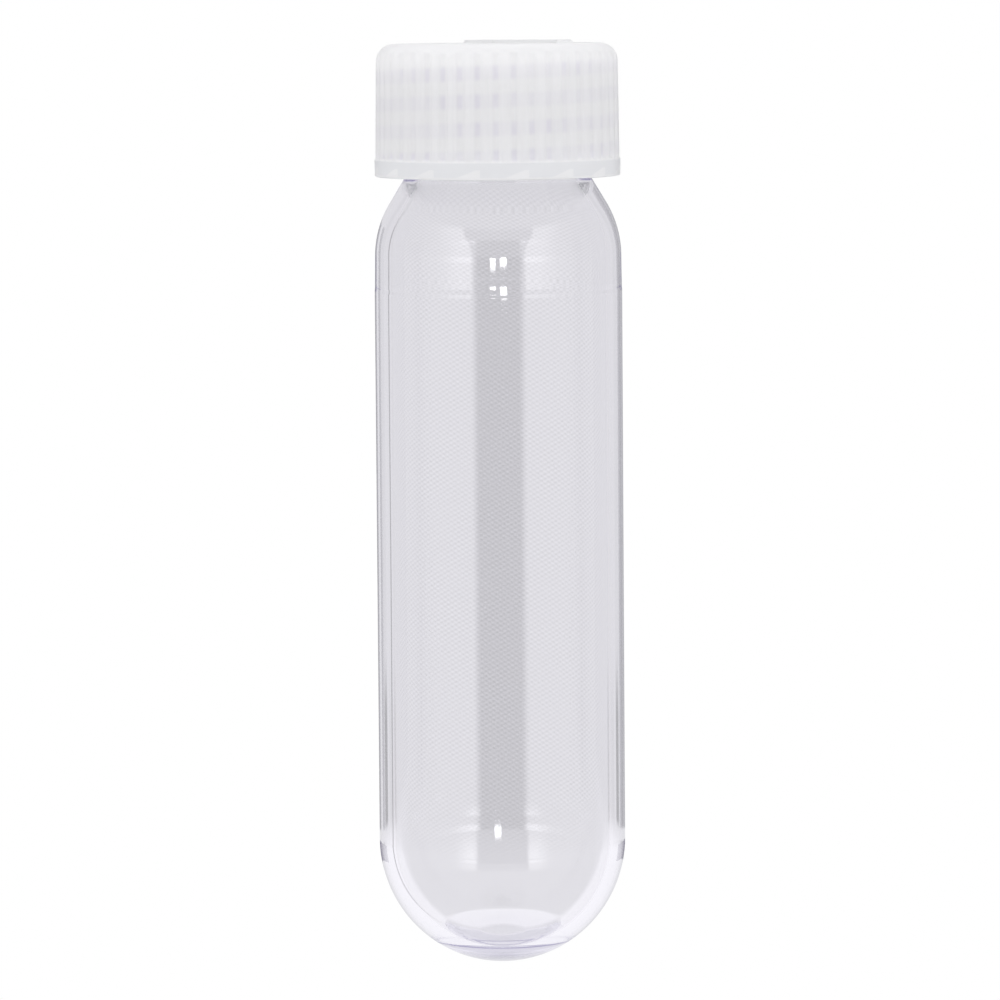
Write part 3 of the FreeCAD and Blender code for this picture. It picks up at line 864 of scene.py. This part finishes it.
def make_world():
    """White to the camera, an even soft light to matt surfaces and a studio to shiny and clear ones."""
    world = bpy.data.worlds.new("studio")
    bpy.context.scene.world = world
    world.use_nodes = True
    world.cycles.sampling_method = "NONE"
    tree = world.node_tree
    tree.nodes.clear()
    path = add(tree, "ShaderNodeLightPath")
    parts, bearing = direction(tree)
    height = parts.outputs["Z"]
    through = path.outputs["Is Transmission Ray"]
    not_through = math_node(tree, "SUBTRACT", 1, through)
    reflected = math_node(tree, "MULTIPLY", path.outputs["Is Glossy Ray"], not_through)
    colour = add_walls(tree, height, bearing, through)
    colour = add_panels(tree, parts, bearing, reflected, colour)
    colour = add_lamps(tree, parts, reflected, colour)
    even = mix(tree, step_over(tree, height, *SOFT_CHANGE), SOFT_LOW, SOFT_HIGH)
    colour = mix(tree, path.outputs["Is Diffuse Ray"], colour, even)
    studio = add(tree, "ShaderNodeBackground", Strength=1.0)
    tree.links.new(colour, studio.inputs["Color"])
    white = add(tree, "ShaderNodeBackground", Color=(1, 1, 1, 1), Strength=1.0)
    seen = path.outputs["Is Camera Ray"]
    whole = blend(tree, seen, studio.outputs["Background"], white.outputs["Background"])
    output = add(tree, "ShaderNodeOutputWorld")
    tree.links.new(whole, output.inputs["Surface"])


# ------------------------------------------------------------------ the stage

FLOOR_HALF = 0.6
FLOOR_GAP = 0.5 * MM
FLOOR_LIGHT = (0.8, 0.8, 0.82, 1)

# The sheet behind the tube: its size and distance, and its light, with a faint tint for each channel
SHEET_HALF = 90 * MM
SHEET_LOW = -60 * MM
SHEET_HIGH = 150 * MM
SHEET_GAP = 1.5 * MM
SHEET_LIGHT = 0.70
SHEET_TINT = (("Red", 1.0), ("Green", 0.99), ("Blue", 1.03))
SHEET_CLOTH = (0.08, 0.08, 0.08, 1)
# Painted light: the sheet is brighter at its foot, and brightest outside a ring round the tube's bottom,
# beyond the tube's shadow
FOOT_HEIGHTS = (13 * MM, 7 * MM)
PAINTED_FOOT_LIGHT = 1.08
PAINTED_RING_LIGHT = 1.36
RING_MIDDLE = 11 * MM
RING_EDGE = (16.5 * MM, 19.0 * MM)
# Painted shadow of the tube either side of it, stronger below, and a thin dark line further out on the left
TUBE_SHADOW_INNER = (22.4 * MM, 23.4 * MM)
TUBE_SHADOW_OUTER = (25.8 * MM, 27.0 * MM)
TUBE_SHADOW_HEIGHTS = (24 * MM, 34 * MM)
TUBE_SHADOW_FOOT = (11 * MM, 12.5 * MM)
TUBE_SHADOW_STRENGTH = 0.08
TUBE_SHADOW_STRENGTH_BELOW = 0.60
LINE_SPAN = (-34.8 * MM, -33.1 * MM)
LINE_SOFT = 0.2 * MM
LINE_SHADE = 0.55
# Its weave: the spacing, the lean and the depth of the dots, which fade towards both ends
WEAVE_ACROSS = 1.03 * MM
WEAVE_UP = 0.58 * MM
WEAVE_LEAN = 0.12
WEAVE_DEPTH = 0.12
WEAVE_UNEVEN = 220.0
WEAVE_FOOT = (4 * MM, 18 * MM)
WEAVE_HEAD = (100 * MM, 80 * MM)


def flat_sheet(name, corners, material):
    """A one-faced stage sheet."""
    mesh = bpy.data.meshes.new(name)
    mesh.from_pydata(corners, [], [(0, 1, 2, 3)])
    mesh.materials.append(material)
    sheet = bpy.data.objects.new(name, mesh)
    bpy.context.scene.collection.objects.link(sheet)
    return sheet


def make_floor():
    """A wide pale floor that reads as white."""
    material, tree, output = new_material("pale_floor")
    glow = add(tree, "ShaderNodeEmission", Strength=1.0)
    path = add(tree, "ShaderNodeLightPath")
    level = mix(tree, path.outputs["Is Camera Ray"], FLOOR_LIGHT, (1, 1, 1, 1))
    tree.links.new(level, glow.inputs["Color"])
    tree.links.new(glow.outputs["Emission"], output.inputs["Surface"])
    half, low = FLOOR_HALF, cad_box[0][2] - FLOOR_GAP
    corners = [(-half, -half, low), (half, -half, low), (half, half, low), (-half, half, low)]
    floor = flat_sheet("floor", corners, material)
    floor.visible_glossy = False
    floor.visible_transmission = False


def weave_dots(tree, parts):
    """The weave's dots, from -1 to 1."""
    across = math_node(tree, "MULTIPLY", parts.outputs["X"], TURN / WEAVE_ACROSS)
    leaning = math_node(tree, "MULTIPLY_ADD", parts.outputs["X"], WEAVE_LEAN, parts.outputs["Z"])
    up = math_node(tree, "MULTIPLY", leaning, TURN / WEAVE_UP)
    dots = math_node(tree, "MULTIPLY", math_node(tree, "COSINE", across), math_node(tree, "COSINE", up))
    foot = step_over(tree, parts.outputs["Z"], *WEAVE_FOOT)
    head = step_over(tree, parts.outputs["Z"], *WEAVE_HEAD)
    return math_node(tree, "MULTIPLY", dots, math_node(tree, "MULTIPLY", foot, head))


def painted_tube_shadow(tree, height, side):
    """How much the tube's painted shadow either side of it darkens the sheet."""
    inner = step_over(tree, side, *TUBE_SHADOW_INNER)
    outer = step_over(tree, side, *TUBE_SHADOW_OUTER)
    below = math_node(tree, "SUBTRACT", 1, step_over(tree, height, *TUBE_SHADOW_HEIGHTS))
    strength = math_node(tree, "MULTIPLY_ADD", below, TUBE_SHADOW_STRENGTH_BELOW, TUBE_SHADOW_STRENGTH)
    shade = math_node(tree, "MULTIPLY", math_node(tree, "SUBTRACT", inner, outer), strength)
    return math_node(tree, "MULTIPLY", shade, step_over(tree, height, *TUBE_SHADOW_FOOT))


def painted_foot_light(tree, height, side):
    """How much painted light brightens the sheet at its foot and outside the ring round the tube's bottom, as
    a factor.
    """
    below = step_over(tree, height, *FOOT_HEIGHTS)
    drop = math_node(tree, "SUBTRACT", height, RING_MIDDLE)
    side_square = math_node(tree, "MULTIPLY", side, side)
    away = math_node(tree, "SQRT", math_node(tree, "MULTIPLY_ADD", drop, drop, side_square))
    outside = math_node(tree, "MULTIPLY", below, step_over(tree, away, *RING_EDGE))
    level = math_node(tree, "MULTIPLY_ADD", below, PAINTED_FOOT_LIGHT - 1, 1.0)
    return math_node(tree, "MULTIPLY_ADD", outside, PAINTED_RING_LIGHT - PAINTED_FOOT_LIGHT, level)


def sheet_level(tree, parts, where, dots):
    """The sheet's brightness before its tint."""
    height = parts.outputs["Z"]
    side = math_node(tree, "ABSOLUTE", parts.outputs["X"])
    uneven = math_node(tree, "MULTIPLY", noise(tree, where, WEAVE_UNEVEN, 2.0), WEAVE_DEPTH)
    level = math_node(tree, "ADD", math_node(tree, "MULTIPLY", dots, uneven), 1.0)
    level = math_node(tree, "MULTIPLY", level, painted_foot_light(tree, height, side))
    # Darkened by the tube's painted shadow
    unshaded = math_node(tree, "SUBTRACT", 1, painted_tube_shadow(tree, height, side))
    level = math_node(tree, "MULTIPLY", level, unshaded)
    line_share = window(tree, parts.outputs["X"], *LINE_SPAN, LINE_SOFT)
    return math_node(tree, "MULTIPLY", level, math_node(tree, "MULTIPLY_ADD", line_share, -LINE_SHADE, 1))


def woven_sheet():
    """A pale woven cloth that glows, with painted light at its foot and the tube's painted shadow beside it.
    """
    material, tree, output = new_material("woven_backdrop")
    where = add(tree, "ShaderNodeTexCoord").outputs["Object"]
    parts = add(tree, "ShaderNodeSeparateXYZ")
    tree.links.new(where, parts.inputs["Vector"])
    dots = weave_dots(tree, parts)
    level = sheet_level(tree, parts, where, dots)
    colour = add(tree, "ShaderNodeCombineColor")
    for channel, tint in SHEET_TINT:
        tree.links.new(math_node(tree, "MULTIPLY", level, tint * SHEET_LIGHT), colour.inputs[channel])
    glow = add(tree, "ShaderNodeEmission", Strength=1.0)
    tree.links.new(colour.outputs["Color"], glow.inputs["Color"])
    cloth = add(tree, "ShaderNodeBsdfDiffuse")
    threads = math_node(tree, "MULTIPLY_ADD", dots, 0.5, 0.5)
    tree.links.new(mix(tree, threads, (0, 0, 0, 1), SHEET_CLOTH), cloth.inputs["Color"])
    together = add(tree, "ShaderNodeAddShader")
    tree.links.new(glow.outputs["Emission"], together.inputs[0])
    tree.links.new(cloth.outputs["BSDF"], together.inputs[1])
    tree.links.new(together.outputs["Shader"], output.inputs["Surface"])
    return material


def make_backdrop():
    """The woven sheet close behind the tube, seen only through the clear plastic."""
    half, back = SHEET_HALF, BARREL + SHEET_GAP
    low, high = SHEET_LOW, SHEET_HIGH
    corners = [(-half, back, low), (half, back, low), (half, back, high), (-half, back, high)]
    sheet = flat_sheet("backdrop", corners, woven_sheet())
    sheet.visible_camera = False
    sheet.visible_diffuse = False
    sheet.visible_glossy = False
    sheet.visible_shadow = False
    sheet.visible_volume_scatter = False


# ------------------------------------------------------------------ the camera

# The camera stands close, level with the cap's top, and looks a little down: the cap's top is seen
# edge-on and the round bottom from above.
VIEW_DISTANCE = 0.45
VIEW_HEIGHT = CAP_TOP + 3.2 * MM
VIEW_TILT = math.radians(3.5)
VIEW_ROLL = math.radians(-0.42)
VIEW_WIDTH = 0.1162
VIEW_MIDDLE = Vector((0.0, 0.0, 53.93 * MM))
# How near the camera has to be to its own height for the lens shift to hold, and a height well below that
VIEW_NEAR = 6.0 * MM
VIEW_FAR = 0.1


def shift_here(holder, shift):
    """Shifts the lens at the camera's own height, and not when the camera is moved to look from elsewhere."""
    curve = holder.data.driver_add("shift_y")
    for modifier in list(curve.modifiers):
        curve.modifiers.remove(modifier)
    curve.driver.type = "SUM"
    place = curve.driver.variables.new()
    place.type = "TRANSFORMS"
    place.targets[0].id = holder
    place.targets[0].transform_type = "LOC_Z"
    place.targets[0].transform_space = "WORLD_SPACE"
    stand = holder.location.z
    for height, value in ((stand - VIEW_FAR, 0), (stand - VIEW_NEAR, shift), (stand + VIEW_NEAR, 0)):
        key = curve.keyframe_points.insert(height, value)
        key.interpolation = "CONSTANT"


def make_camera():
    """A close camera a little above the cap; the lens is shifted down so that the tube fills the frame."""
    camera = bpy.data.cameras.new("camera")
    camera.sensor_width = 36
    camera.lens = camera.sensor_width * VIEW_DISTANCE / VIEW_WIDTH
    camera.clip_start = 0.01
    holder = bpy.data.objects.new("camera", camera)
    bpy.context.scene.collection.objects.link(holder)
    holder.location = (0, -VIEW_DISTANCE, VIEW_HEIGHT)
    holder.rotation_euler = (math.pi / 2 - VIEW_TILT, 0, 0)
    holder.rotation_euler.rotate_axis("Z", VIEW_ROLL)
    seen = holder.rotation_euler.to_matrix().transposed() @ (VIEW_MIDDLE - holder.location)
    camera.shift_x = seen.x / -seen.z * camera.lens / camera.sensor_width
    shift_here(holder, seen.y / -seen.z * camera.lens / camera.sensor_width)
    bpy.context.scene.camera = holder


# ------------------------------------------------------------------ the whole scene

def make_pieces():
    """The three pieces, each with its material, on the body that carries it."""
    pieces = [
        (make_tube(), "tube", "tube_body", "clear_tube", clear_plastic()),
        (make_cap(), "cap", "screw_cap", "natural_cap", natural_plastic()),
        (make_gasket(), "gasket", "sealing_gasket", "gasket", silicone()),
    ]
    for piece, body, node, slot, material in pieces:
        piece.data.materials.append(material)
        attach(piece, body)
        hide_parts(node)


def set_light_paths():
    """Enough bounces for light that is reflected many times inside the clear wall and the milky cap."""
    scene = bpy.context.scene
    scene.view_settings.view_transform = "Standard"
    scene.cycles.max_bounces = 24
    scene.cycles.diffuse_bounces = 12
    scene.cycles.transmission_bounces = 24
    scene.cycles.glossy_bounces = 24
    scene.cycles.transparent_max_bounces = 16
    scene.cycles.use_denoising = True


make_pieces()
make_world()
make_floor()
make_backdrop()
make_camera()
set_light_paths()
